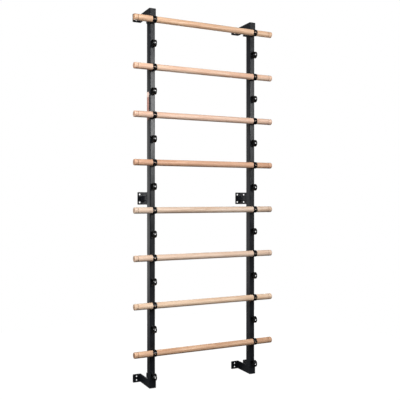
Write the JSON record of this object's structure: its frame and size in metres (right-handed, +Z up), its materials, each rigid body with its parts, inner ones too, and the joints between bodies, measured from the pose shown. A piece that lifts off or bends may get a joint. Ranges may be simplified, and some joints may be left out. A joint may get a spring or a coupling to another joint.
{
  "type": "swedish wall bars",
  "caption": "Wall-hung climbing frame: round wooden rungs lie in collars welded to two black steel posts, held off the wall by bent end brackets and middle plates.",
  "frame": {"origin": "on the wall plane, midway between the posts, level with the posts' feet", "axes": "+X along the rungs to the right as seen from the room, +Y into the wall, +Z up the posts"},
  "size_m": [1, 0.21, 2.4],
  "materials": {
    "black_steel": "black powder coat, fine satin texture",
    "collar_steel": "black powder coat, glossy",
    "plug_plastic": "black moulded plastic, satin",
    "rung_wood": "pale straight-grained hardwood, clear satin lacquer"
  },
  "bodies": {
    "frame": {"left_post_lower": "black_steel", "left_post_upper": "black_steel", "left_post_sleeve": "black_steel", "left_bottom_bracket": "black_steel", "left_top_bracket": "black_steel", "left_wall_plate": "black_steel", "left_arm": "black_steel", "left_post_plate": "black_steel", "left_bottom_plug": "plug_plastic", "left_top_plug": "plug_plastic", "left_collar_01": "collar_steel", "left_collar_02": "collar_steel", "left_collar_03": "collar_steel", "left_collar_04": "collar_steel", "left_collar_05": "collar_steel", "left_collar_06": "collar_steel", "left_collar_07": "collar_steel", "left_collar_08": "collar_steel", "left_collar_09": "collar_steel", "left_collar_10": "collar_steel", "left_collar_11": "collar_steel", "left_collar_12": "collar_steel", "left_collar_13": "collar_steel", "left_collar_14": "collar_steel", "left_collar_15": "collar_steel", "left_collar_16": "collar_steel", "right_post_lower": "black_steel", "right_post_upper": "black_steel", "right_post_sleeve": "black_steel", "right_bottom_bracket": "black_steel", "right_top_bracket": "black_steel", "right_wall_plate": "black_steel", "right_arm": "black_steel", "right_post_plate": "black_steel", "right_bottom_plug": "plug_plastic", "right_top_plug": "plug_plastic", "right_collar_01": "collar_steel", "right_collar_02": "collar_steel", "right_collar_03": "collar_steel", "right_collar_04": "collar_steel", "right_collar_05": "collar_steel", "right_collar_06": "collar_steel", "right_collar_07": "collar_steel", "right_collar_08": "collar_steel", "right_collar_09": "collar_steel", "right_collar_10": "collar_steel", "right_collar_11": "collar_steel", "right_collar_12": "collar_steel", "right_collar_13": "collar_steel", "right_collar_14": "collar_steel", "right_collar_15": "collar_steel", "right_collar_16": "collar_steel"},
    "rung_01": {"rung_01": "rung_wood"},
    "rung_02": {"rung_02": "rung_wood"},
    "rung_03": {"rung_03": "rung_wood"},
    "rung_04": {"rung_04": "rung_wood"},
    "rung_05": {"rung_05": "rung_wood"},
    "rung_06": {"rung_06": "rung_wood"},
    "rung_07": {"rung_07": "rung_wood"},
    "rung_08": {"rung_08": "rung_wood"}
  },
  "joints": [
    {"name": "rung_01_slide", "type": "slide", "parent": "frame", "child": "rung_01", "axis": [1, 0, 0], "range_m": [-0.12, 0.12]},
    {"name": "rung_02_slide", "type": "slide", "parent": "frame", "child": "rung_02", "axis": [1, 0, 0], "range_m": [-0.12, 0.12]},
    {"name": "rung_03_slide", "type": "slide", "parent": "frame", "child": "rung_03", "axis": [1, 0, 0], "range_m": [-0.12, 0.12]},
    {"name": "rung_04_slide", "type": "slide", "parent": "frame", "child": "rung_04", "axis": [1, 0, 0], "range_m": [-0.12, 0.12]},
    {"name": "rung_05_slide", "type": "slide", "parent": "frame", "child": "rung_05", "axis": [1, 0, 0], "range_m": [-0.12, 0.12]},
    {"name": "rung_06_slide", "type": "slide", "parent": "frame", "child": "rung_06", "axis": [1, 0, 0], "range_m": [-0.12, 0.12]},
    {"name": "rung_07_slide", "type": "slide", "parent": "frame", "child": "rung_07", "axis": [1, 0, 0], "range_m": [-0.12, 0.12]},
    {"name": "rung_08_slide", "type": "slide", "parent": "frame", "child": "rung_08", "axis": [1, 0, 0], "range_m": [-0.12, 0.12]}
  ]
}
